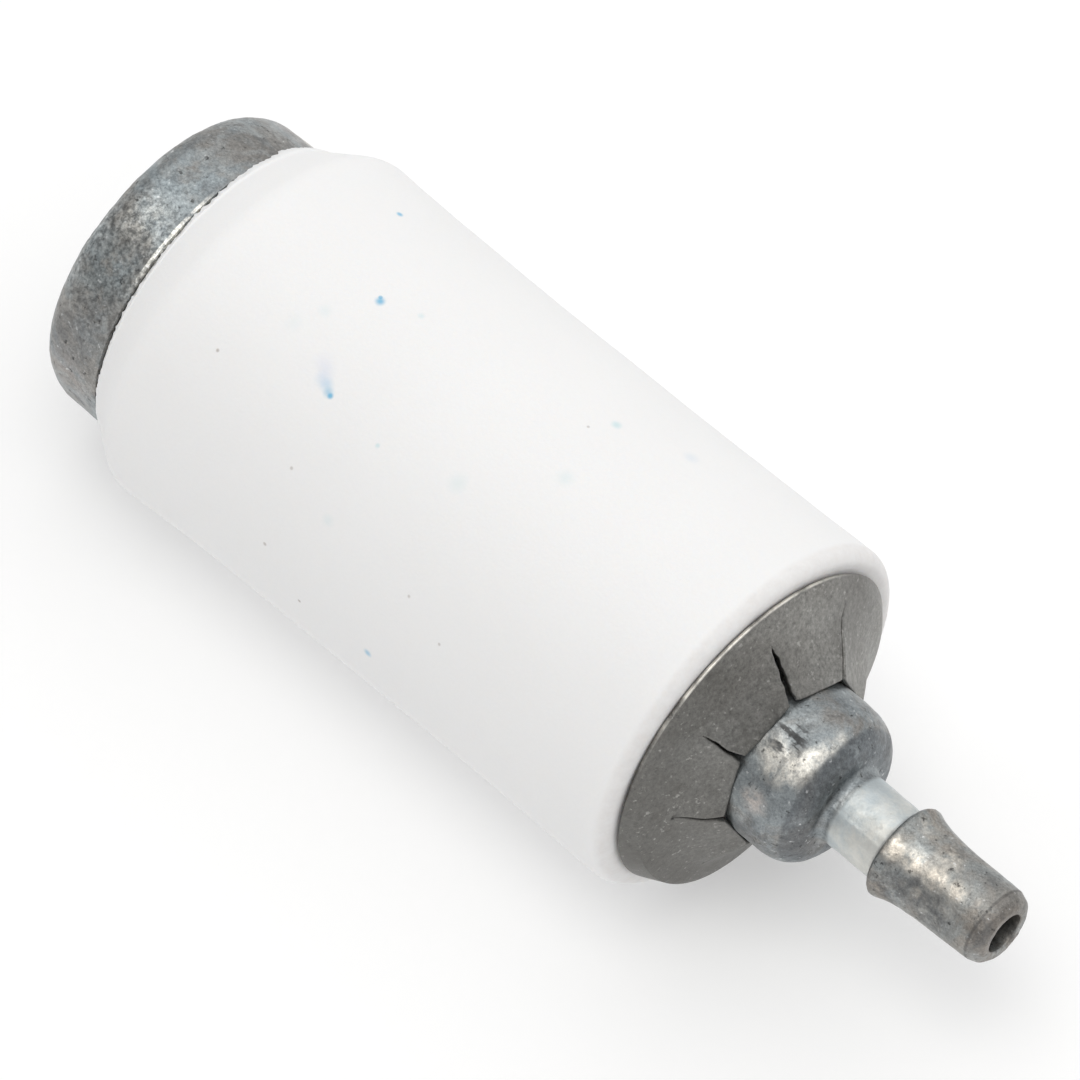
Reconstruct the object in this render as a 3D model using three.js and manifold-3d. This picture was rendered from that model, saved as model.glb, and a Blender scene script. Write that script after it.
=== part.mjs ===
// In-tank fuel filter for a small petrol engine, in millimetres, +Z up.
// It lies on its sleeve with its axis along X: the end weight is at -X and the hose nipple at +X.
// The origin is under the middle of its length, on the surface that it lies on.
//
// Three pieces make the object:
//   cast_body      one zinc die casting: end weight, spigot, ported stem, collar, bulb and barbed nipple
//   filter_sleeve  a tube of porous moulded polyethylene, slid over the stem from the nipple's end
//   star_washer    a push-on spring washer that grips the bulb and holds the sleeve on the weight

import * as THREE from 'three';
import { mergeVertices } from 'three/addons/utils/BufferGeometryUtils.js';
import Module from 'manifold-3d';

const wasm = await Module();
wasm.setup();

// Driving dimensions: end weight
const weightLength = 2.8;
const weightDraft = 0.06;
const weightRound = 1.1;

// Driving dimensions: filter sleeve
const sleeveLength = 24.0;
const sleeveWaistRadius = 6.76;
const shoulderRise = 0.18;
const shoulderStep = 1.18;
const endRise = 0.09;
const sleeveBoreRadius = 4.25;
const lipLength = 0.22;
const lipFlare = 0.22;
const shoulderAngle = THREE.MathUtils.degToRad(33);
const shoulderCrest = 0.9;
const endRound = 0.55;

// Driving dimensions: stem inside the sleeve
const spigotLength = 2.2;
const stemRadius = 2.9;
const collarLength = 2.2;
const collarInset = 0.4;
const portRadius = 0.75;
const portSetback = 1.6;
const partingAngle = THREE.MathUtils.degToRad(40);

// Driving dimensions: bulb and nipple
const bulbRadius = 2.93;
const bulbLength = 4.45;
const bulbRound = 1.3;
const neckRadius = 1.38;
const neckLength = 2.35;
const neckFillet = 0.32;
const barbRadius = 1.75;
const barbLength = 4.6;
const barbFall = 0.75;
const spoutRadius = 1.4;
const tipRound = 0.4;
const boreRadius = 0.73;

// Driving dimensions: star washer
const washerSheet = 0.17;
const washerRise = 1.7;
const washerKneeRadius = 4.5;
const washerKneeRise = 0.59;
const washerMargin = 0.7;
const petalCount = 8;
const slitWidth = 0.14;

// Clearances
const sleeveSlip = 0.05;
const petalClearance = 0.03;

// Facets round each turned shape: the sleeve has fewer, so that it lies still on a wide one
const turnedFacets = 48;
const sleeveFacets = 32;
const portFacets = 16;

// Stations along the axis, from the weight's flat face
const shoulderX = weightLength;
const sleeveEndX = shoulderX + sleeveLength;
const collarEndX = sleeveEndX - collarInset;
const collarStartX = collarEndX - collarLength;
const portX = collarStartX - portSetback;
const boreEndX = portX - portRadius;
const bulbEndX = sleeveEndX + bulbLength;
const barbX = bulbEndX + neckLength;
const tipX = barbX + barbLength;

// Radii that follow from the pieces they meet
const collarRadius = sleeveBoreRadius - sleeveSlip;
const shoulderRadius = sleeveWaistRadius + shoulderRise;
const weightRadius = shoulderRadius - shoulderStep;
const endRadius = sleeveWaistRadius + endRise;
const washerRadius = endRadius - washerMargin;
const petalRadius = bulbRadius + petalClearance;
const axisHeight = shoulderRadius * Math.cos(Math.PI / sleeveFacets);

// A round corner about (radius, x) from one angle to another, as profile points
function corner(centreRadius, centreX, round, fromAngle, toAngle, steps) {
  const points = [];
  for (let i = 0; i <= steps; i += 1) {
    const angle = fromAngle + ((toAngle - fromAngle) * i) / steps;
    points.push([centreRadius + round * Math.cos(angle), centreX + round * Math.sin(angle)]);
  }
  return points;
}

// A profile of [radius, distance along the axis] points, turned about the axis, with a facet flat below
function turned(profile, facets) {
  const points = profile.map(([radius, along]) => new THREE.Vector2(radius, along));
  return new THREE.LatheGeometry(points, facets, Math.PI / facets, 2 * Math.PI);
}

// A three.js geometry as a solid that can be cut
function solidFrom(geometry) {
  const bare = geometry.clone();
  bare.deleteAttribute('normal');
  bare.deleteAttribute('uv');
  const shared = mergeVertices(bare, 1e-4);
  const corners = Array.from(shared.index.array);
  const triangles = [];
  for (let i = 0; i < corners.length; i += 3) {
    const [a, b, c] = corners.slice(i, i + 3);
    if (a !== b && b !== c && c !== a) {
      triangles.push(a, b, c);
    }
  }
  return new wasm.Manifold(new wasm.Mesh({
    numProp: 3,
    vertProperties: shared.attributes.position.array,
    triVerts: new Uint32Array(triangles),
  }));
}

// The cut solid as a three.js geometry again
function geometryFrom(solid) {
  const mesh = solid.getMesh();
  const geometry = new THREE.BufferGeometry();
  geometry.setAttribute('position', new THREE.BufferAttribute(mesh.vertProperties, 3));
  geometry.setIndex(new THREE.BufferAttribute(mesh.triVerts, 1));
  geometry.computeVertexNormals();
  return geometry;
}

// The casting, turned as one profile from the weight's face to the end of its blind bore
function castBodyGeometry() {
  const half = Math.PI / 2;
  const roundRadius = weightRadius - weightDraft;
  const weightEdge = corner(roundRadius - weightRound, weightRound, weightRound, -half, 0, 5);
  const bulbCorner = corner(bulbRadius - bulbRound, bulbEndX - bulbRound, bulbRound, 0, half, 7);
  const filletCentre = neckRadius + neckFillet;
  const neckCorner = corner(filletCentre, bulbEndX + neckFillet, neckFillet, -half, -Math.PI, 4);
  const tipCorner = corner(spoutRadius - tipRound, tipX - tipRound, tipRound, 0, half, 4);
  const barb = [];
  for (const part of [0, 0.08, 0.18, 0.32, 0.55]) {
    const past = part * (barbLength - tipRound);
    barb.push([spoutRadius + (barbRadius - spoutRadius) * Math.exp(-past / barbFall), barbX + past]);
  }
  const profile = [
    [0, 0],
    ...weightEdge,
    [weightRadius, shoulderX],
    [collarRadius, shoulderX],
    [collarRadius, shoulderX + spigotLength],
    [stemRadius, shoulderX + spigotLength],
    [stemRadius, collarStartX],
    [collarRadius, collarStartX],
    [collarRadius, collarEndX],
    [bulbRadius, collarEndX],
    ...bulbCorner,
    ...neckCorner,
    [neckRadius, barbX],
    ...barb,
    ...tipCorner,
    [boreRadius, tipX],
    [boreRadius, boreEndX],
    [0, boreEndX],
  ];
  const casting = solidFrom(turned(profile, turnedFacets));
  const port = new THREE.CylinderGeometry(portRadius, portRadius, 4 * stemRadius, portFacets);
  port.rotateX(half);
  port.rotateY(partingAngle + half);
  port.translate(0, portX, 0);
  return geometryFrom(casting.subtract(solidFrom(port)));
}

// The sleeve: a lip as wide as the weight, a sloping shoulder, a slight waist and a rounded end
function filterSleeveGeometry() {
  const half = Math.PI / 2;
  const lipRadius = weightRadius + lipFlare;
  const shoulderRun = (shoulderRadius - lipRadius) / Math.tan(shoulderAngle);
  const crestX = shoulderX + lipLength + shoulderRun;
  const barrelStartX = crestX + shoulderCrest;
  const barrelEndX = sleeveEndX - endRound;
  const barrel = [];
  const barrelSteps = 8;
  for (let i = 0; i < barrelSteps; i += 1) {
    const part = i / barrelSteps;
    const rise = part < 0.5 ? shoulderRise : endRise;
    const bow = Math.cos(Math.PI * part) ** 2;
    barrel.push([sleeveWaistRadius + rise * bow, barrelStartX + part * (barrelEndX - barrelStartX)]);
  }
  const profile = [
    [sleeveBoreRadius, shoulderX],
    [weightRadius, shoulderX],
    [lipRadius, shoulderX + lipLength],
    [shoulderRadius, crestX],
    ...barrel,
    ...corner(endRadius - endRound, barrelEndX, endRound, 0, half, 4),
    [sleeveBoreRadius, sleeveEndX],
    [sleeveBoreRadius, shoulderX],
  ];
  return geometryFrom(solidFrom(turned(profile, sleeveFacets)));
}

// The washer: a dished sheet whose slits run from an eight-sided hole to the knee of the dish
function starWasherGeometry() {
  const blankRadius = petalRadius - washerSheet;
  const petalSlope = (washerRise - washerKneeRise) / (washerKneeRadius - petalRadius);
  const blankRise = washerRise + (petalRadius - blankRadius) * petalSlope;
  const profile = [
    [washerRadius, sleeveEndX],
    [washerRadius, sleeveEndX + washerSheet],
    [washerKneeRadius, sleeveEndX + washerKneeRise + washerSheet],
    [blankRadius, sleeveEndX + blankRise + washerSheet],
    [blankRadius, sleeveEndX + blankRise],
    [washerKneeRadius, sleeveEndX + washerKneeRise],
    [washerRadius, sleeveEndX],
  ];
  let washer = solidFrom(turned(profile, turnedFacets));

  const cutHeight = 2 * (blankRise + 2 * washerSheet);
  const cornerRadius = petalRadius / Math.cos(Math.PI / petalCount);
  const hole = new THREE.CylinderGeometry(cornerRadius, cornerRadius, cutHeight, petalCount);
  hole.translate(0, sleeveEndX, 0);
  washer = washer.subtract(solidFrom(hole));

  for (let i = 0; i < petalCount; i += 1) {
    const slit = new THREE.BoxGeometry(slitWidth, cutHeight, washerKneeRadius);
    slit.translate(0, sleeveEndX, washerKneeRadius / 2);
    slit.rotateY((2 * Math.PI * i) / petalCount);
    washer = washer.subtract(solidFrom(slit));
  }
  return geometryFrom(washer);
}

const zinc = new THREE.MeshStandardMaterial({ color: 0x85868a, roughness: 0.5, metalness: 0.9 });
const polyethylene = new THREE.MeshStandardMaterial({ color: 0xeeeff0, roughness: 0.75, metalness: 0 });
const springSteel = new THREE.MeshStandardMaterial({ color: 0x77746f, roughness: 0.45, metalness: 0.9 });

// Each piece is turned about +Y, then laid with its axis along +X
const filter = new THREE.Group();
function addPiece(name, geometry, material) {
  geometry.rotateZ(-Math.PI / 2);
  geometry.translate(-tipX / 2, 0, axisHeight);
  const mesh = new THREE.Mesh(geometry, material);
  mesh.name = name;
  filter.add(mesh);
}
addPiece('cast_body', castBodyGeometry(), zinc);
addPiece('filter_sleeve', filterSleeveGeometry(), polyethylene);
addPiece('star_washer', starWasherGeometry(), springSteel);

export default filter;
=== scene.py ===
import math

import bmesh
import bpy
from mathutils import Matrix, Vector, noise


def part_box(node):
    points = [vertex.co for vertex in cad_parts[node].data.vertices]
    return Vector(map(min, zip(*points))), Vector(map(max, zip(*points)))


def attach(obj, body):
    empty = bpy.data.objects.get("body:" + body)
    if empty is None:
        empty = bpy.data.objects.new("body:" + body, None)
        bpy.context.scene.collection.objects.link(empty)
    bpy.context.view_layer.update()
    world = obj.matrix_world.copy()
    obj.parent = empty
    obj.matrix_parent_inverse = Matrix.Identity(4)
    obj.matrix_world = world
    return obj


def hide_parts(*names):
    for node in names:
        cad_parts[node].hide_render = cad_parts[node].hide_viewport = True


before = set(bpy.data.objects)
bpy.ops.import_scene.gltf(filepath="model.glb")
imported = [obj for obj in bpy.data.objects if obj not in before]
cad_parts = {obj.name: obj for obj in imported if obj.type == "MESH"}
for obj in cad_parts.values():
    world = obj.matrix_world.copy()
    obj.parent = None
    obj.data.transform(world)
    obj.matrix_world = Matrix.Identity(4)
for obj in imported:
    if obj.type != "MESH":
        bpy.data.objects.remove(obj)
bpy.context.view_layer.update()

# ---------------------------------------------------------------------------
# Camera, floor and light. A long lens looks down on the filter from the nipple's side. A wide canopy of
# light hangs over a faintly glowing white floor, with a small soft light beside the camera.
# ---------------------------------------------------------------------------
MM = 0.001
sleeve_low, sleeve_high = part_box("filter_sleeve")
axis_height = (sleeve_low[2] + sleeve_high[2]) / 2
azimuth = math.radians(43.9)
elevation = math.radians(57.3)
camera_distance = 0.391
back = Vector((
    math.sin(azimuth) * math.cos(elevation),
    -math.cos(azimuth) * math.cos(elevation),
    math.sin(elevation),
))
aim = Vector((-1.9 * MM, 0.34 * MM, axis_height + 0.16 * MM))
camera_data = bpy.data.cameras.new("camera")
camera_data.lens = 400
camera_data.sensor_width = 36
camera_data.clip_start = 0.01
camera_data.clip_end = 50
camera = bpy.data.objects.new("camera", camera_data)
camera.location = aim + back * camera_distance
camera.rotation_euler = back.to_track_quat("Z", "Y").to_euler()
bpy.context.scene.collection.objects.link(camera)
bpy.context.scene.camera = camera
bpy.context.scene.view_settings.view_transform = "Standard"


def finished(bm, name, smooth_angle):
    """The mesh as an object of its own, smooth but for edges sharper than smooth_angle in degrees."""
    mesh = bpy.data.meshes.new(name)
    bm.to_mesh(mesh)
    bm.free()
    piece = bpy.data.objects.new(name, mesh)
    bpy.context.scene.collection.objects.link(piece)
    mesh.shade_smooth()
    mesh.set_sharp_from_angle(angle=math.radians(smooth_angle))
    return piece


floor_half_side = 3.0
floor_drop = 0.04 * MM
floor_mesh = bmesh.new()
bmesh.ops.create_grid(floor_mesh, x_segments=1, y_segments=1, size=floor_half_side)
bmesh.ops.translate(floor_mesh, vec=(0, 0, -floor_drop), verts=floor_mesh.verts)
floor = finished(floor_mesh, "floor", 30)
floor_material = bpy.data.materials.new("white_floor")
floor_material.use_nodes = True
floor_shader = floor_material.node_tree.nodes["Principled BSDF"]
floor_shader.inputs["Base Color"].default_value = (0.74, 0.74, 0.74, 1)
floor_shader.inputs["Emission Color"].default_value = (1, 1, 1, 1)
floor_shader.inputs["Emission Strength"].default_value = 0.26
floor_shader.inputs["Roughness"].default_value = 0.9
floor_shader.inputs["Specular IOR Level"].default_value = 0.1
floor.data.materials.append(floor_material)

world = bpy.data.worlds.new("studio")
world.use_nodes = True
world.node_tree.nodes["Background"].inputs["Color"].default_value = (0.99, 0.993, 1.0, 1)
world.node_tree.nodes["Background"].inputs["Strength"].default_value = 0.54
bpy.context.scene.world = world


def softbox(name, direction, distance, size, power, colour):
    """A square area light that faces the filter from that direction."""
    data = bpy.data.lights.new(name, "AREA")
    data.shape = "SQUARE"
    data.size = size
    data.energy = power
    data.color = colour
    light = bpy.data.objects.new(name, data)
    towards = Vector(direction).normalized()
    light.location = aim + towards * distance
    light.rotation_euler = towards.to_track_quat("Z", "Y").to_euler()
    bpy.context.scene.collection.objects.link(light)


softbox("key", (0.10, -0.22, 0.97), 0.6, 0.34, 0.95, (1.0, 0.985, 0.95))
softbox("canopy", (-0.05, 0.40, 0.92), 1.0, 2.0, 7.0, (1.0, 1.0, 1.0))

# ---------------------------------------------------------------------------
# Cast body: one zinc die casting. The end weight, the spigot and collar that hold the sleeve, the stem, the
# bulb that the washer grips and the barbed nipple are all round about one axis. The die opened across that
# axis, so a thin line of flash runs along both sides and over the weight's face.
# ---------------------------------------------------------------------------
# Lengths are in millimetres along the axis from the weight's flat face, until a mesh is placed in metres.
# Angles round the axis are from +Z towards -Y, and the filter faces the camera at this one.
body_low, body_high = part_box("cast_body")
weight_face = body_low[0]
shoulder_x = (sleeve_low[0] - weight_face) / MM
sleeve_end_x = (sleeve_high[0] - weight_face) / MM
FACING = math.radians(24.8)

length = (body_high[0] - body_low[0]) / MM
weight_radius = 5.76
weight_round = 1.1
collar_radius = 4.2
stem_radius = 2.9
bulb_radius = 2.93
bulb_end_x = 31.25
neck_radius = 1.37
barb_x = 33.6
barb_radius = 1.79
spout_radius = 1.40
mouth_radius = 0.74
bore_end_x = 22.04
spigot_length = 2.2
collar_length = 2.2
collar_inset = 0.4
parting_angle = math.radians(40)
casting_steps = 288
FINE = 0.14


def place(bm):
    """Moves a mesh made in millimetres, from the weight's face along +X, to its place in metres."""
    move = Matrix.Translation((weight_face, 0, axis_height)) @ Matrix.Scale(MM, 4)
    bmesh.ops.transform(bm, matrix=move, verts=bm.verts)


def spot(degrees, x, radius):
    """A place in metres, from degrees past the facing side and millimetres along and from the axis."""
    angle = FACING + math.radians(degrees)
    return Vector((
        weight_face + x * MM,
        -radius * math.sin(angle) * MM,
        axis_height + radius * math.cos(angle) * MM,
    ))


def outline(corners, spacing):
    """Points along a run of (x, radius, round) corners: arcs round them, and steps of spacing between."""
    turned = []
    for i, (x, radius, arc) in enumerate(corners):
        here = Vector((x, radius))
        if arc == 0 or i in (0, len(corners) - 1):
            turned.append(here)
            continue
        before = (Vector(corners[i - 1][:2]) - here).normalized()
        after = (Vector(corners[i + 1][:2]) - here).normalized()
        half = before.angle(after) / 2
        centre = here + (before + after).normalized() * (arc / math.sin(half))
        start = (here + before * (arc / math.tan(half)) - centre).normalized()
        end = (here + after * (arc / math.tan(half)) - centre).normalized()
        steps = max(3, math.ceil(arc * (math.pi - 2 * half) / spacing))
        for k in range(steps + 1):
            turned.append(centre + start.slerp(end, k / steps) * arc)
    points = [turned[0]]
    for here, there in zip(turned, turned[1:]):
        pieces = max(1, math.ceil((there - here).length / spacing))
        for k in range(1, pieces + 1):
            points.append(here.lerp(there, k / pieces))
    return points


def spun(points, steps, closed):
    """A solid of revolution about the X axis from (x, radius) points in the plane of X and Z."""
    bm = bmesh.new()
    ring = [bm.verts.new((x, 0, radius)) for x, radius in points]
    edges = [bm.edges.new(pair) for pair in zip(ring, ring[1:])]
    if closed:
        edges.append(bm.edges.new((ring[-1], ring[0])))
    bmesh.ops.spin(
        bm, geom=ring + edges, cent=(0, 0, 0), axis=(1, 0, 0), dvec=(0, 0, 0),
        angle=2 * math.pi, steps=steps, use_merge=True, use_duplicate=False,
    )
    bmesh.ops.remove_doubles(bm, verts=bm.verts, dist=1e-5)
    bmesh.ops.recalc_face_normals(bm, faces=bm.faces)
    return bm


def polar(co):
    """A point's angle round the axis, from +Z towards -Y, and its distance from the axis."""
    return math.atan2(-co.y, co.z), math.hypot(co.y, co.z)


barb_fall = []
for past in (0.35, 0.6, 0.9, 1.3, 1.8, 2.5, 3.6):
    taper = (barb_radius - spout_radius) * math.exp(-(past - 0.12) / 0.72)
    barb_fall.append((barb_x + past, spout_radius + taper, 0))
outer_corners = [
    (0, 0, 0),
    (0, weight_radius - 0.07, weight_round),
    (shoulder_x - 0.02, weight_radius, 0.04),
    (shoulder_x - 0.02, collar_radius, 0),
]
hidden_corners = [
    (shoulder_x + spigot_length, collar_radius, 0.2),
    (shoulder_x + spigot_length, stem_radius, 0.3),
    (sleeve_end_x - collar_inset - collar_length, stem_radius, 0.3),
    (sleeve_end_x - collar_inset - collar_length, collar_radius, 0.2),
    (sleeve_end_x - collar_inset, collar_radius, 0.2),
    (sleeve_end_x - collar_inset, bulb_radius, 0.15),
]
nipple_corners = [
    (sleeve_end_x + 0.6, bulb_radius, 0),
    (bulb_end_x, bulb_radius, 1.25),
    (bulb_end_x, neck_radius, 0.27),
    (barb_x, neck_radius - 0.02, 0.05),
    (barb_x + 0.02, barb_radius, 0.2),
    *barb_fall,
    (length - 0.5, spout_radius - 0.01, 0.05),
    (length - 0.17, 1.27, 0.22),
    (length, 1.02, 0.1),
    (length, mouth_radius, 0.07),
    (length - 2.5, mouth_radius - 0.02, 0),
]
blind_corners = [
    (bore_end_x, mouth_radius - 0.03, 0),
    (bore_end_x - 0.2, 0, 0),
]
casting_points = outline(outer_corners, FINE)
casting_points += outline([outer_corners[-1], *hidden_corners, nipple_corners[0]], 1.5)[1:-1]
casting_points += outline(nipple_corners, FINE)
casting_points += [Vector(corner[:2]) for corner in blind_corners]
casting_mesh = spun(casting_points, casting_steps, closed=False)

# Dents and drag marks from the tumbling barrel: degrees from the facing side, place along the axis, width
# and depth.
DENTS = [
    (-14, 29.3, 0.35, 0.06),
    (-4, 29.7, 0.22, 0.04),
    (28, 30.2, 0.30, 0.05),
    (55, 29.6, 0.35, 0.04),
    (-50, 29.9, 0.30, 0.04),
    (-8, 36.9, 0.20, 0.035),
    (24, 35.6, 0.24, 0.04),
    (20, 1.9, 0.28, 0.03),
    (-30, 1.3, 0.35, 0.04),
    (160, 1.5, 0.40, 0.04),
    (-120, 30.0, 0.40, 0.05),
    (170, 35.8, 0.25, 0.04),
    (-90, 30.7, 0.80, 0.10),
]
nipple_skin = 1.5
dent_points = []
for degrees, x, width, depth in DENTS:
    angle = FACING + math.radians(degrees)
    radius = nipple_skin if x > bulb_end_x else bulb_radius - 0.03
    if x < shoulder_x:
        radius = weight_radius - 0.06
    dent_points.append((Vector((x, -radius * math.sin(angle), radius * math.cos(angle))), width, depth))
parting_across = Vector((0, -math.cos(parting_angle), -math.sin(parting_angle)))
NIPPLE_BEND = Vector((0, -math.cos(FACING), -math.sin(FACING))) * 0.06
shifts = []
for vert in casting_mesh.verts:
    co = vert.co
    angle, radius = polar(co)
    seated = co.x > shoulder_x - 0.03 and radius < weight_radius - 0.1
    inside_sleeve = co.x < sleeve_end_x + 0.7 and (co.x > shoulder_x - 0.01 or seated)
    inside_bore = bore_end_x - 0.5 < co.x < bulb_end_x - 1.3 and radius < mouth_radius + 0.04
    if inside_sleeve or inside_bore:
        shifts.append(Vector())
        continue
    across = co.dot(parting_across)
    broken = 0.5 + 0.5 * noise.noise(co * 1.1 + Vector((7, 3, 1)))
    high = 0.035 if co.x < shoulder_x else 0.012
    flash = high * broken * math.exp(-((across / 0.07) ** 2))
    step = 0.006 * math.tanh(across / 0.05)
    worn = 0.022 * noise.noise(co * 0.8) + 0.011 * noise.noise(co * 2.7) + 0.006 * noise.noise(co * 6)
    fade = min(1, radius / 1.2)
    dent = 0.0
    for point, width, depth in dent_points:
        away = (co - point).length / width
        if away < 2.5:
            dent += depth * math.exp(-away * away)
    bend = NIPPLE_BEND * min(max((co.x - 30) / 3.5, 0), 1)
    shifts.append(vert.normal * (flash + step + worn * fade - dent) + bend)
for vert, shift in zip(casting_mesh.verts, shifts):
    vert.co += shift

place(casting_mesh)
casting = finished(casting_mesh, "zinc_casting", 40)


class Nodes:
    """A material's node tree, with short calls for the nodes that the finishes here are made of."""

    def __init__(self, name):
        self.material = bpy.data.materials.new(name)
        self.material.use_nodes = True
        self.tree = self.material.node_tree
        self.shader = self.tree.nodes["Principled BSDF"]
        self.place = self.tree.nodes.new("ShaderNodeTexCoord").outputs["Object"]

    def link(self, output, socket):
        self.tree.links.new(output, socket)

    def feed(self, socket, value):
        if isinstance(value, bpy.types.NodeSocket):
            self.link(value, socket)
        else:
            socket.default_value = value

    def noise(self, scale, detail=4.0, rough=0.55, place=None, distortion=0.0):
        node = self.tree.nodes.new("ShaderNodeTexNoise")
        node.inputs["Scale"].default_value = scale
        node.inputs["Detail"].default_value = detail
        node.inputs["Roughness"].default_value = rough
        node.inputs["Distortion"].default_value = distortion
        self.link(place or self.place, node.inputs["Vector"])
        return node.outputs["Fac"]

    def cells(self, scale, output="Distance", place=None):
        node = self.tree.nodes.new("ShaderNodeTexVoronoi")
        node.inputs["Scale"].default_value = scale
        self.link(place or self.place, node.inputs["Vector"])
        return node.outputs[output]

    def spread(self, value, low, high, to_low=0.0, to_high=1.0, smooth=False):
        node = self.tree.nodes.new("ShaderNodeMapRange")
        if smooth:
            node.interpolation_type = "SMOOTHSTEP"
        for name, number in zip(("From Min", "From Max", "To Min", "To Max"), (low, high, to_low, to_high)):
            node.inputs[name].default_value = number
        self.link(value, node.inputs["Value"])
        return node.outputs["Result"]

    def math(self, operation, a, b=0.0):
        node = self.tree.nodes.new("ShaderNodeMath")
        node.operation = operation
        self.feed(node.inputs[0], a)
        self.feed(node.inputs[1], b)
        return node.outputs[0]

    def mix(self, factor, a, b, blend="MIX"):
        node = self.tree.nodes.new("ShaderNodeMix")
        node.data_type = "RGBA"
        node.blend_type = blend
        self.feed(node.inputs["Factor"], factor)
        self.feed(node.inputs["A"], a if isinstance(a, bpy.types.NodeSocket) else (*a, 1))
        self.feed(node.inputs["B"], b if isinstance(b, bpy.types.NodeSocket) else (*b, 1))
        return node.outputs["Result"]

    def mapped(self, scale=(1, 1, 1), turn=(0, 0, 0)):
        node = self.tree.nodes.new("ShaderNodeMapping")
        node.inputs["Scale"].default_value = scale
        node.inputs["Rotation"].default_value = turn
        self.link(self.place, node.inputs["Vector"])
        return node.outputs["Vector"]

    def bump(self, height, distance, strength=1.0, normal=None):
        node = self.tree.nodes.new("ShaderNodeBump")
        node.inputs["Strength"].default_value = strength
        node.inputs["Distance"].default_value = distance
        self.link(height, node.inputs["Height"])
        if normal is not None:
            self.link(normal, node.inputs["Normal"])
        return node.outputs["Normal"]

    def band(self, value, low, high, soft):
        """1 where the value is between low and high, falling to 0 within soft on both sides."""
        rise = self.spread(value, low - soft, low, smooth=True)
        fall = self.spread(value, high, high + soft, 1.0, 0.0, smooth=True)
        return self.math("MULTIPLY", rise, fall)

    def along(self):
        """Millimetres along the axis from the weight's face."""
        node = self.tree.nodes.new("ShaderNodeSeparateXYZ")
        self.link(self.place, node.inputs[0])
        return self.math("MULTIPLY", self.math("SUBTRACT", node.outputs["X"], weight_face), 1 / MM)

    def radial(self):
        """Millimetres from the axis."""
        node = self.tree.nodes.new("ShaderNodeVectorMath")
        node.operation = "SUBTRACT"
        self.link(self.place, node.inputs[0])
        node.inputs[1].default_value = (0, 0, axis_height)
        across = self.tree.nodes.new("ShaderNodeVectorMath")
        across.operation = "MULTIPLY"
        self.link(node.outputs["Vector"], across.inputs[0])
        across.inputs[1].default_value = (0, 1 / MM, 1 / MM)
        size = self.tree.nodes.new("ShaderNodeVectorMath")
        size.operation = "LENGTH"
        self.link(across.outputs["Vector"], size.inputs[0])
        return size.outputs["Value"]

    def near(self, point, radius, core):
        """1 within core times radius of a point, falling to 0 at the radius."""
        node = self.tree.nodes.new("ShaderNodeVectorMath")
        node.operation = "DISTANCE"
        self.link(self.place, node.inputs[0])
        node.inputs[1].default_value = point
        return self.spread(node.outputs["Value"], radius * core, radius, 1.0, 0.0, smooth=True)


zinc = Nodes("die_cast_zinc")
patches = zinc.spread(zinc.noise(380, detail=5, rough=0.6, distortion=0.8), 0.44, 0.58)
tint = zinc.mix(patches, (0.285, 0.275, 0.26), (0.30, 0.325, 0.335))

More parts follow.
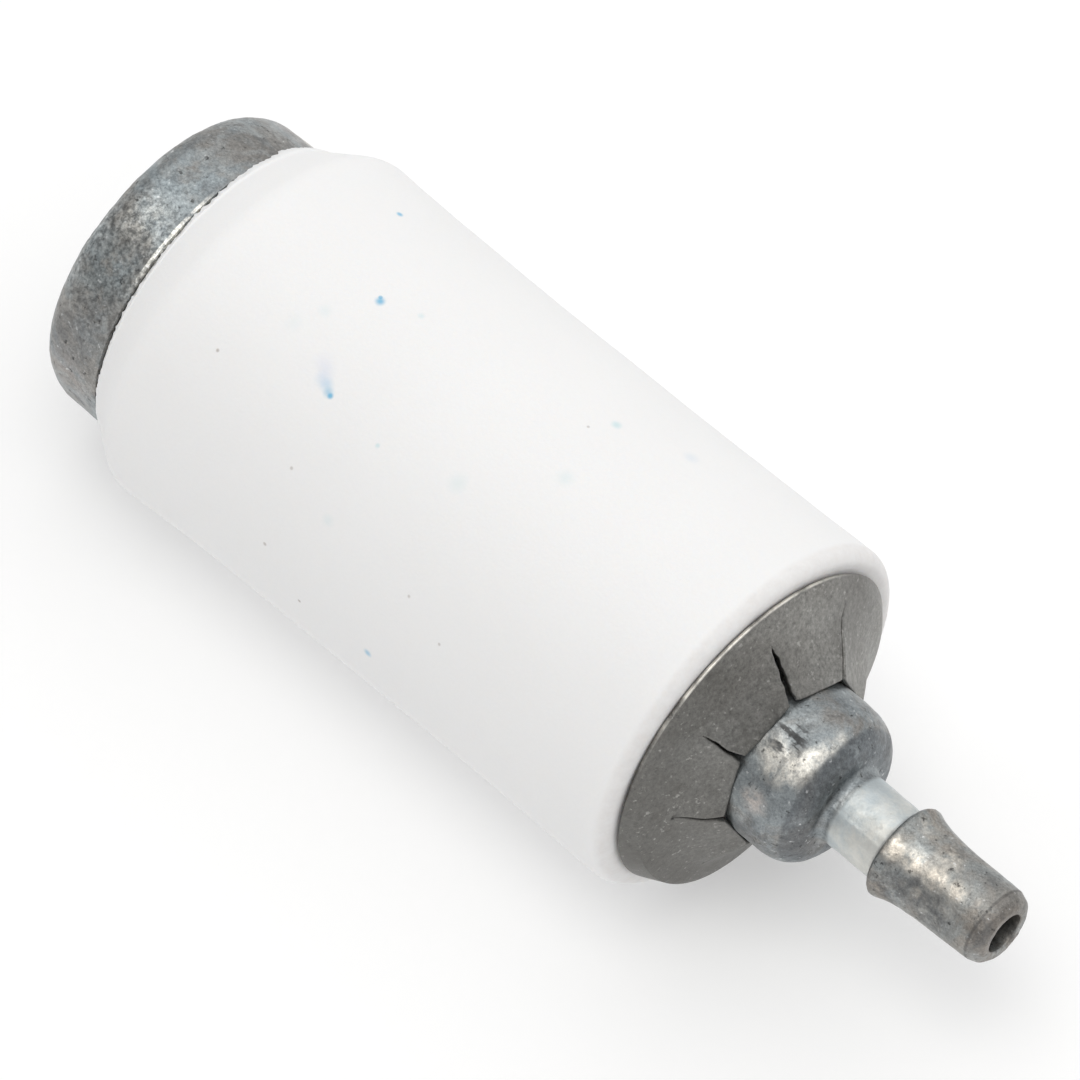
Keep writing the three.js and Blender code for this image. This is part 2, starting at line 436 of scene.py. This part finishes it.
# Parts of the skin that are lighter, bluer or darker: degrees from the facing side, place along the axis,
# distance from the axis, reach, strength and colour. The CREAM patches are painted highlights, and the DARK
# patches on the lower side are painted shade; the others are tint that the die, the tumbling and handling
# left.
CREAM = (0.74, 0.71, 0.65)
PALE = (0.52, 0.56, 0.57)
ROSY = (0.46, 0.42, 0.40)
DARK = (0.13, 0.14, 0.15)
SLATE = (0.26, 0.31, 0.33)
ASH = (0.36, 0.41, 0.43)
SKIN_AND_PAINTED_LIGHT = [
    (-25, 29.2, 2.9, 0.90, 0.65, PALE),
    (18, 28.4, 2.9, 0.80, 0.45, PALE),
    (2, 29.2, 2.9, 0.70, 0.90, CREAM),
    (10, 29.7, 2.9, 0.75, 1.00, CREAM),
    (2, 30.2, 2.8, 0.75, 1.00, CREAM),
    (-10, 30.4, 2.8, 0.45, 0.90, CREAM),
    (-21, 30.5, 2.7, 0.42, 0.85, CREAM),
    (-32, 30.5, 2.7, 0.35, 0.70, CREAM),
    (70, 29.8, 2.9, 1.20, 0.50, DARK),
    (24, 29.6, 2.9, 0.50, 0.50, DARK),
    (38, 29.5, 2.9, 0.60, 0.75, (0.60, 0.54, 0.50)),
    (55, 28.9, 2.9, 0.70, 0.40, PALE),
    (5, 32.2, 1.4, 0.55, 0.60, CREAM),
    (3, 33.0, 1.4, 0.50, 0.60, CREAM),
    (6, 34.0, 1.7, 0.50, 0.95, CREAM),
    (5, 34.8, 1.6, 0.55, 1.00, CREAM),
    (4, 35.7, 1.5, 0.55, 0.95, CREAM),
    (0, 36.5, 1.4, 0.45, 0.70, CREAM),
    (-32, 35.6, 1.5, 0.60, 0.45, CREAM),
    (-45, 34.4, 1.6, 0.55, 0.35, CREAM),
    (28, 36.6, 1.4, 0.35, 0.80, CREAM),
    (34, 35.4, 1.5, 0.25, 0.80, CREAM),
    (52, 34.6, 1.6, 1.10, 0.80, DARK),
    (46, 36.3, 1.4, 1.10, 0.80, DARK),
    (24, 35.2, 1.6, 0.35, 0.70, DARK),
    (-50, 37.0, 1.4, 0.60, 0.40, DARK),
    (-84, 1.5, 5.8, 1.50, 0.55, ROSY),
    (-88, 2.1, 5.8, 0.80, 0.70, CREAM),
    (50, 1.3, 5.8, 1.60, 0.45, DARK),
    (66, 1.4, 5.8, 1.60, 0.35, ROSY),
    (-5, 1.7, 5.8, 1.20, 0.28, CREAM),
    (-24, 1.5, 5.8, 1.90, 0.45, ASH),
    (17, 1.5, 5.8, 1.60, 0.45, SLATE),
    (34, 1.9, 5.8, 1.10, 0.35, DARK),
    (150, 1.4, 5.8, 2.20, 0.30, PALE),
    (-150, 28.6, 2.9, 1.00, 0.50, PALE),
    (170, 34.8, 1.6, 0.80, 0.50, CREAM),
]
uneven = zinc.spread(zinc.noise(2300, detail=5, rough=0.65), 0.34, 0.54)
for degrees, x, radius, reach, strength, colour in SKIN_AND_PAINTED_LIGHT:
    point = spot(degrees, x, radius)
    skin_and_painted_light_part = zinc.math("MULTIPLY", zinc.near(point, 1.15 * reach * MM, 0.2), strength)
    tint = zinc.mix(zinc.math("MULTIPLY", skin_and_painted_light_part, uneven), tint, colour)

# Painted shade darkens the bulb's rounded shoulder and the tip, and the nipple past the barb is warmer
along = zinc.along()
painted_shade_round_end = zinc.band(along, bulb_end_x - 0.47, bulb_end_x - 0.05, 0.14)
tint = zinc.mix(zinc.math("MULTIPLY", painted_shade_round_end, 0.7), tint, DARK)
warm = zinc.math("MULTIPLY", zinc.band(along, barb_x + 0.2, length + 0.8, 0.2), 0.7)
tint = zinc.mix(warm, tint, zinc.mix(1.0, tint, (1.06, 0.99, 0.92), "MULTIPLY"))
tip = zinc.math("MULTIPLY", zinc.band(along, length - 0.45, length + 0.4, 0.15), 0.5)
tint = zinc.mix(tip, tint, (0.20, 0.185, 0.17))

# A painted highlight brightens the weight's edge where the lip has shrunk back from it
painted_edge_highlight = zinc.math("MULTIPLY", zinc.band(along, shoulder_x - 0.14, shoulder_x, 0.04), uneven)
painted_edge_highlight_point = Vector((sleeve_low[0] - 0.05 * MM, -2.1 * MM, axis_height + 5.4 * MM))
painted_edge_highlight = zinc.math("MULTIPLY", painted_edge_highlight, zinc.near(painted_edge_highlight_point, 2.6 * MM, 0.4))
tint = zinc.mix(painted_edge_highlight, tint, (0.95, 0.92, 0.85))

# Painted shade darkens the crease behind the barb and the tip's chamfer
barb_crease_shade = zinc.band(along, barb_x - 0.1, barb_x, 0.04)
tip_crease_shade = zinc.band(along, length - 0.51, length - 0.47, 0.05)
painted_crease_shade = zinc.math("ADD", barb_crease_shade, tip_crease_shade)
tint = zinc.mix(zinc.math("MULTIPLY", painted_crease_shade, 0.4), tint, (0.05, 0.05, 0.05))

# White bloom, dark tarnish, a frosty grain that is strongest on the weight, and fine pits and flecks
bloom = zinc.spread(zinc.noise(850, detail=6, rough=0.65, distortion=0.6), 0.52, 0.68)
tint = zinc.mix(zinc.math("MULTIPLY", bloom, 0.35), tint, PALE)
tarnish = zinc.spread(zinc.noise(700, detail=6, rough=0.7, distortion=1.2), 0.54, 0.66)
tint = zinc.mix(zinc.math("MULTIPLY", tarnish, 0.45), tint, DARK)
frost = zinc.noise(5200, detail=6, rough=0.7)
frost_centre = Vector(((weight_face + sleeve_low[0]) / 2, -3.3 * MM, axis_height + 4.7 * MM))
frosted = zinc.math("MULTIPLY", zinc.near(frost_centre, 3.8 * MM, 0.3), 0.70)
frosted = zinc.math("ADD", frosted, zinc.spread(zinc.noise(300, detail=3), 0.44, 0.56, 0.10, 0.30))
coarse = zinc.mix(zinc.spread(frost, 0.36, 0.64, smooth=True), (0.52, 0.54, 0.55), (1.50, 1.52, 1.52))
tint = zinc.mix(frosted, tint, zinc.mix(1.0, tint, coarse, "MULTIPLY"))
mottle = zinc.noise(11000, detail=4, rough=0.8)
fine = zinc.mix(zinc.spread(mottle, 0.32, 0.68), (0.72, 0.72, 0.73), (1.28, 1.28, 1.27))
tint = zinc.mix(1.0, tint, fine, "MULTIPLY")
pits = zinc.spread(zinc.noise(3600, detail=3, rough=0.6), 0.63, 0.70)
tint = zinc.mix(zinc.math("MULTIPLY", pits, 0.75), tint, (0.05, 0.05, 0.05))

# The neck, which neither the tumbling nor the washer could reach, is painted smooth and pale: a painted
# reflection of the bright surroundings
clouds = zinc.spread(zinc.noise(600, detail=6, rough=0.7), 0.40, 0.60)
painted_neck_reflection = zinc.mix(clouds, (0.62, 0.68, 0.70), (0.82, 0.82, 0.78))
neck = zinc.math("MULTIPLY", zinc.band(along, bulb_end_x + 0.5, barb_x - 0.18, 0.22), 0.76)
tint = zinc.mix(neck, tint, painted_neck_reflection)

# Short score marks along the axis, where the washer was pushed on over the bulb
scored = zinc.noise(4200, detail=3, rough=0.6, place=zinc.mapped(scale=(0.30, 1, 1)))
scored_at = Vector((weight_face + (bulb_end_x - 1.9) * MM, -0.8 * MM, axis_height + 2.8 * MM))
scores = zinc.math("MULTIPLY", zinc.spread(scored, 0.50, 0.58), zinc.near(scored_at, 0.85 * MM, 0.45))
tint = zinc.mix(zinc.math("MULTIPLY", scores, 0.9), tint, (0.07, 0.07, 0.07))
flecks = zinc.spread(zinc.noise(5500, detail=2, rough=0.5, place=zinc.mapped(turn=(1, 2, 3))), 0.68, 0.76)
tint = zinc.mix(zinc.math("MULTIPLY", flecks, 0.6), tint, (0.80, 0.81, 0.81))
zinc.link(tint, zinc.shader.inputs["Base Color"])
zinc.shader.inputs["Metallic"].default_value = 1.0
rough = zinc.spread(zinc.noise(1800, detail=5, rough=0.6), 0.3, 0.7, 0.34, 0.58)
rough = zinc.math("ADD", rough, zinc.math("MULTIPLY", neck, 0.12))
zinc.link(rough, zinc.shader.inputs["Roughness"])
skin = zinc.bump(zinc.noise(1500, detail=6, rough=0.65), 0.00006, 0.6)
skin = zinc.bump(frost, 0.00002, 0.6, skin)
zinc.link(skin, zinc.shader.inputs["Normal"])
casting.data.materials.append(zinc.material)
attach(casting, "root")
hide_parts("cast_body")

# ---------------------------------------------------------------------------
# Filter sleeve: a tube of porous polyethylene, moulded from white powder in one piece. Its lip is a little
# wider than the end weight, its shoulder slopes up to a faint crest, and its waist is narrower than its
# ends. It is slid over the stem and held between the weight and the washer.
# ---------------------------------------------------------------------------
sleeve_bore = 4.25
sleeve_waist = 6.76
shoulder_flare = 0.187
end_flare = 0.095
flare_reach = 3.1
sleeve_steps = 384

lip_radius = 5.97
lip_length = 0.22
shoulder_crest_x = shoulder_x + 1.86


def barrel_radius(x):
    """The sleeve's outer radius past its shoulder: a waist that flares a little towards both ends."""
    from_shoulder = x - (shoulder_x + 2.14)
    from_end = sleeve_end_x - 1.3 - x
    near_shoulder = shoulder_flare * math.exp(-max(from_shoulder, 0) / flare_reach)
    near_end = end_flare * math.exp(-max(from_end, 0) / flare_reach)
    return sleeve_waist + near_shoulder + near_end


barrel = []
barrel_start = shoulder_x + 3.04
barrel_end = sleeve_end_x - 1.2
for k in range(13):
    x = barrel_start + (barrel_end - barrel_start) * k / 12
    barrel.append((x, barrel_radius(x), 0))
lip_corners = [
    (shoulder_x, 5.5, 0),
    (shoulder_x, 5.81, 0.04),
    (shoulder_x + lip_length, lip_radius + 0.01, 0.05),
    (shoulder_x + lip_length + 0.08, lip_radius, 0.06),
    (shoulder_crest_x, barrel_radius(shoulder_crest_x - 0.02) + 0.02, 1.3),
    barrel[0],
]
end_corners = [
    barrel[-1],
    (sleeve_end_x + 0.01, 6.86, 0.5),
    (sleeve_end_x, 5.8, 0),
]
bore_corners = [
    end_corners[-1],
    (sleeve_end_x, sleeve_bore, 0),
    (shoulder_x, sleeve_bore, 0),
    lip_corners[0],
]
sleeve_points = outline(lip_corners, 0.1)
sleeve_points += outline(barrel, 0.45)[1:]
sleeve_points += outline(end_corners, 0.1)[1:]
sleeve_points += outline(bore_corners, 1.2)[1:-1]
sleeve_mesh = spun(sleeve_points, sleeve_steps, closed=True)

# The moulding is not quite true: both its ends lean a little, and it has a faint unevenness all over. The
# lip is ragged. It has shrunk back from the weight on one side, and laps the weight's side on the other.
LEAN = 0.1
LAPPING_RADIUS = 5.79
leaning_side = FACING + math.pi / 2
for vert in sleeve_mesh.verts:
    angle, radius = polar(vert.co)
    if radius < sleeve_bore + 0.1:
        continue
    along = vert.co.x - shoulder_x
    seat = min(max((along - 0.2) / 2.0, 0), 1)
    lean = LEAN * (1 + min(max((radius - 6.2) / 0.3, 0), 1))
    vert.co.x -= lean * seat * math.cos(angle - leaning_side)
    swell = 0.03 * noise.noise(vert.co * 0.22) + 0.008 * noise.noise(vert.co * 0.9)
    tatter = max(0.0, 1 - along / 0.35) if radius > 5.6 else 0.0
    ragged = 0.6 * noise.noise(vert.co * 1.4 + Vector((0, 0, 40))) + noise.noise(vert.co * 6.5)
    shrunk = 0.29 * max(0.0, math.cos(angle - FACING - math.radians(30))) ** 0.7
    creep = shrunk - 0.16 + 0.11 * ragged
    if radius < LAPPING_RADIUS:
        creep = max(creep, 0.0)
    vert.co.x += tatter * creep
    grow = 1 + (swell + 0.03 * tatter * ragged) / radius
    vert.co.y *= grow
    vert.co.z *= grow
place(sleeve_mesh)
sleeve = finished(sleeve_mesh, "porous_sleeve", 50)

# White polymer beads sintered together: matt, slightly translucent and finely grained.
plastic = Nodes("porous_polyethylene")
cloudy = plastic.noise(160, detail=3)
tint = plastic.mix(cloudy, (0.862, 0.858, 0.854), (0.893, 0.891, 0.889))
grains = plastic.cells(9000)
tint = plastic.mix(plastic.spread(grains, 0.0, 0.9, 0.0, 0.06), tint, (0.7, 0.7, 0.71))

# Coloured grains that got into the powder: degrees from the facing side, place along the axis, radius, how
# solid the middle is, strength and colour. Faint ones lie below the surface.
BLUE = (0.06, 0.42, 0.68)
TEAL = (0.25, 0.60, 0.66)
BROWN = (0.22, 0.15, 0.11)
STRAY_GRAINS = [
    (-27.4, 10.06, 0.24, 0.10, 0.75, BLUE),
    (-28.4, 9.96, 0.10, 0.40, 0.60, BLUE),
    (2.3, 11.12, 0.15, 0.20, 0.75, BLUE),
    (1.9, 10.99, 0.26, 0.00, 0.45, BLUE),
    (0.6, 10.79, 0.34, 0.00, 0.32, (0.20, 0.50, 0.75)),
    (0.2, 10.54, 0.40, 0.00, 0.22, (0.34, 0.55, 0.80)),
    (-2.2, 10.49, 0.46, 0.00, 0.15, (0.45, 0.55, 0.80)),
    (-3.6, 10.19, 0.50, 0.00, 0.10, (0.42, 0.48, 0.82)),
    (-57.2, 7.66, 0.16, 0.20, 0.70, BLUE),
    (62.0, 16.29, 0.22, 0.10, 0.55, BLUE),
    (-45.0, 18.69, 0.26, 0.10, 0.35, TEAL),
    (-32.0, 11.39, 0.18, 0.00, 0.22, TEAL),
    (-15.0, 8.99, 0.35, 0.00, 0.10, TEAL),
    (-7.0, 8.49, 0.50, 0.00, 0.06, TEAL),
    (4.7, 13.49, 0.12, 0.20, 0.30, TEAL),
    (-1.0, 16.49, 0.50, 0.00, 0.12, TEAL),
    (-21.0, 19.09, 0.45, 0.00, 0.13, TEAL),
    (-54.0, 21.09, 0.40, 0.00, 0.20, (0.45, 0.60, 0.75)),
    (30.5, 13.39, 0.34, 0.00, 0.10, TEAL),
    (12.0, 6.99, 0.09, 0.20, 0.50, BROWN),
    (33.0, 17.19, 0.09, 0.10, 0.35, BROWN),
    (25.0, 11.39, 0.09, 0.30, 0.35, BROWN),
    (52.0, 11.49, 0.10, 0.30, 0.40, BROWN),
    (39.0, 18.89, 0.08, 0.30, 0.35, BROWN),
    (64.0, 13.19, 0.09, 0.30, 0.50, BROWN),
    (-38.0, 18.19, 0.08, 0.30, 0.35, BROWN),
    (150.0, 11.74, 0.22, 0.10, 0.60, BLUE),
    (-140.0, 17.74, 0.30, 0.05, 0.35, TEAL),
    (175.0, 21.74, 0.10, 0.30, 0.50, BROWN),
]
for degrees, x, reach, core, strength, colour in STRAY_GRAINS:
    point = spot(degrees, x, barrel_radius(x))
    stain = plastic.math("MULTIPLY", plastic.near(point, reach * MM, core), strength)
    tint = plastic.mix(stain, tint, colour)

# Rubbing against the washer has left a faint brown film along the end
handled = plastic.band(plastic.along(), sleeve_end_x - 0.22, sleeve_end_x + 0.3, 0.25)
film = plastic.spread(plastic.noise(2200, detail=5, rough=0.7), 0.36, 0.74, 0.09, 0.26)
tint = plastic.mix(plastic.math("MULTIPLY", handled, film), tint, (0.50, 0.43, 0.39))
plastic.link(tint, plastic.shader.inputs["Base Color"])
plastic.shader.inputs["Roughness"].default_value = 0.62
plastic.shader.inputs["Specular IOR Level"].default_value = 0.35
plastic.shader.inputs["Subsurface Weight"].default_value = 0.25
plastic.shader.inputs["Subsurface Radius"].default_value = (1.0, 0.9, 0.8)
plastic.shader.inputs["Subsurface Scale"].default_value = 0.0006
coarse = plastic.bump(plastic.noise(1400, detail=5), 0.00002, 0.5)
plastic.link(plastic.bump(grains, 0.00001, 0.5, coarse), plastic.shader.inputs["Normal"])
sleeve.data.materials.append(plastic.material)
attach(sleeve, "root")
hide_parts("filter_sleeve")

# ---------------------------------------------------------------------------
# Star washer: a thin disc of spring steel, stamped with an eight-sided hole and eight slits, then dished.
# Pushed over the bulb, its petals spring back and bite, and its rim presses into the end of the sleeve.
# ---------------------------------------------------------------------------
washer_sheet = 0.17
washer_radius = 6.13
knee_radius = 4.5
petal_reach = 2.97
petals = 8
slit_start = FACING + math.radians(-26.2)
rim_x = sleeve_end_x + washer_sheet
knee_rise = 0.59
hole_rise = 1.70
rise_beyond_dish = knee_rise * (knee_radius - petal_reach) / (washer_radius - knee_radius)
petal_rise = hole_rise - knee_rise - rise_beyond_dish
columns_per_petal = 24
columns = petals * columns_per_petal

# Each slit, from the widest one round the axis: how far it has opened at the hole, how far out it runs
# and how far it slants, in radians
SLITS = [
    (0.36, 4.95, 0.045),
    (0.22, 4.45, 0.060),
    (0.19, 4.40, 0.115),
    (0.07, 4.45, 0.030),
    (0.09, 4.60, 0.000),
    (0.05, 4.30, -0.020),
    (0.10, 4.50, 0.020),
    (0.20, 5.15, -0.010),
]
rings = 26
washer_mesh = bmesh.new()
radial = []
for k in range(rings + 1):
    radius = petal_reach + (washer_radius - petal_reach) * k / rings
    radial.append(washer_mesh.verts.new((0, -radius * math.sin(slit_start), radius * math.cos(slit_start))))
radial_edges = [washer_mesh.edges.new(pair) for pair in zip(radial, radial[1:])]
bmesh.ops.spin(
    washer_mesh, geom=radial + radial_edges, cent=(0, 0, 0), axis=(1, 0, 0), dvec=(0, 0, 0),
    angle=2 * math.pi, steps=columns, use_merge=True, use_duplicate=False,
)


def turn_from_first(angle):
    """An angle as petals round from the first slit, from 0 up to the number of petals."""
    return ((angle - slit_start) / (2 * math.pi) * petals) % petals


slit_edges = []
for edge in washer_mesh.edges:
    turns = [turn_from_first(polar(vert.co)[0]) for vert in edge.verts]
    radii = [polar(vert.co)[1] for vert in edge.verts]
    number = round(turns[0]) % petals
    on_slit = all(abs(turn - round(turn)) < 0.01 for turn in turns)
    if on_slit and max(radii) <= SLITS[number][1] + 0.07:
        slit_edges.append(edge)
bmesh.ops.split_edges(washer_mesh, edges=slit_edges)

# Each petal is bent down flat between its slits, and past the knee the dish is round again. The petals
# on the side away from the light were bent less, and stand proud.
moves = {}
for vert in washer_mesh.verts:
    angle, radius = polar(vert.co)
    centre = vert.link_faces[0].calc_center_median()
    for face in vert.link_faces[1:]:
        centre = centre + face.calc_center_median()
    petal = math.floor(turn_from_first(polar(centre)[0]))
    middle = slit_start + (petal + 0.5) * 2 * math.pi / petals
    off = (angle - middle + math.pi) % (2 * math.pi) - math.pi
    inward = min(max((knee_radius + 0.3 - radius) / (knee_radius + 0.3 - petal_reach), 0), 1)
    flat = radius * (1 + (1 / math.cos(off) - 1) * inward)
    side = off / (math.pi / petals)
    before, after = SLITS[petal], SLITS[(petal + 1) % petals]
    opening, slit_end, _ = before if side < 0 else after
    open_here = max(0.0, 1 - (radius - petal_reach) / (slit_end - petal_reach))
    torn = 1 + 0.9 * noise.noise(Vector((radius * 3.5, slit_end, side)))
    pull = 0.5 * opening * open_here ** 0.65 * torn * math.copysign(abs(side) ** 3, side)
    slant = before[2] + (after[2] - before[2]) * (side + 1) / 2
    askew = slant * min(max((radius - petal_reach) / 1.4, 0), 1)
    new_angle = middle + off - pull / radius - askew
    reach = flat * math.cos(off) * inward + radius * (1 - inward)
    dish = (washer_radius - reach) / (washer_radius - knee_radius)
    petal_part = (knee_radius - reach) / (knee_radius - petal_reach)
    soft = 0.12 * math.log1p(math.exp(petal_part / 0.12))
    rise = knee_rise * dish + petal_rise * soft
    share = (washer_radius - radius) / (washer_radius - petal_reach)
    turned_away = math.cos(angle - FACING - math.radians(118))
    proud = 0.72 * max(0.0, turned_away) ** 1.5 * (1 - 0.55 * share)
    proud += 0.10 * (1 - math.cos(angle - FACING)) + 0.09 * max(0.0, -math.sin(angle - FACING))
    proud *= min(1, share / 0.12)
    moves[vert] = Vector((
        rim_x + rise + proud - LEAN * math.cos(new_angle - leaning_side) * radius / washer_radius,
        -flat * math.sin(new_angle),
        flat * math.cos(new_angle),
    ))
for vert, goal in moves.items():
    vert.co = goal
bmesh.ops.recalc_face_normals(washer_mesh, faces=washer_mesh.faces)
if sum(face.normal.x for face in washer_mesh.faces) < 0:
    bmesh.ops.reverse_faces(washer_mesh, faces=washer_mesh.faces)
place(washer_mesh)
washer = finished(washer_mesh, "spring_washer", 35)
sheet = washer.modifiers.new("sheet", "SOLIDIFY")
sheet.thickness = washer_sheet * MM
sheet.offset = -1
worn_edge = washer.modifiers.new("worn_edge", "BEVEL")
worn_edge.width = 0.06 * MM
worn_edge.segments = 3
worn_edge.limit_method = "ANGLE"
worn_edge.angle_limit = math.radians(50)

steel = Nodes("spring_steel")
dull = steel.noise(380, detail=4, rough=0.6)
tint = steel.mix(steel.spread(dull, 0.35, 0.65), (0.25, 0.243, 0.23), (0.30, 0.297, 0.285))
grain = steel.noise(6000, detail=5, rough=0.85)
grainy = steel.mix(steel.spread(grain, 0.3, 0.7), (0.45, 0.45, 0.45), (1.58, 1.58, 1.56))
tint = steel.mix(1.0, tint, grainy, "MULTIPLY")

# Painted shade darkens the lower side and a patch near the rim, and a painted highlight brightens the rim
sides = steel.tree.nodes.new("ShaderNodeSeparateXYZ")
steel.link(steel.place, sides.inputs[0])
painted_lower_shade = steel.spread(sides.outputs["Y"], -6.5 * MM, 2.0 * MM, 0.68, 0.05)
tint = steel.mix(painted_lower_shade, tint, (0.10, 0.098, 0.092))
# Painted shade: a patch near the rim is painted darker
painted_shade_patch = steel.near(spot(-80, sleeve_end_x, 5.2), 2.8 * MM, 0.3)
tint = steel.mix(steel.math("MULTIPLY", painted_shade_patch, 0.35), tint, (0.14, 0.135, 0.13))
# Painted highlight: the rim's near edge is painted bright where it catches the light
rim_highlight_point = Vector((weight_face + rim_x * MM, -0.6 * MM, axis_height + 6.1 * MM))
rim = steel.spread(steel.radial(), washer_radius - 0.07, washer_radius - 0.03)
rim = steel.math("MULTIPLY", rim, steel.near(rim_highlight_point, 6.0 * MM, 0.4))
rim = steel.math("MULTIPLY", rim, steel.spread(steel.noise(1200, detail=4), 0.36, 0.55))
tint = steel.mix(rim, tint, (0.90, 0.87, 0.80))

# Stains, and small glints where the sheet was scratched
stains = steel.spread(steel.noise(900, detail=6, rough=0.7, distortion=0.5), 0.50, 0.66, 0.0, 0.38)
tint = steel.mix(stains, tint, (0.12, 0.115, 0.105))
scratched = steel.noise(5200, detail=3, rough=0.6, place=steel.mapped(turn=(2, 1, 3)))
glints = steel.spread(scratched, 0.62, 0.72)
tint = steel.mix(steel.math("MULTIPLY", glints, 0.45), tint, (0.62, 0.61, 0.58))
steel.link(tint, steel.shader.inputs["Base Color"])
steel.shader.inputs["Metallic"].default_value = 1.0
steel.link(steel.spread(grain, 0.3, 0.7, 0.42, 0.56), steel.shader.inputs["Roughness"])
steel.link(steel.bump(grain, 0.00002, 0.5), steel.shader.inputs["Normal"])
washer.data.materials.append(steel.material)
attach(washer, "root")
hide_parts("star_washer")
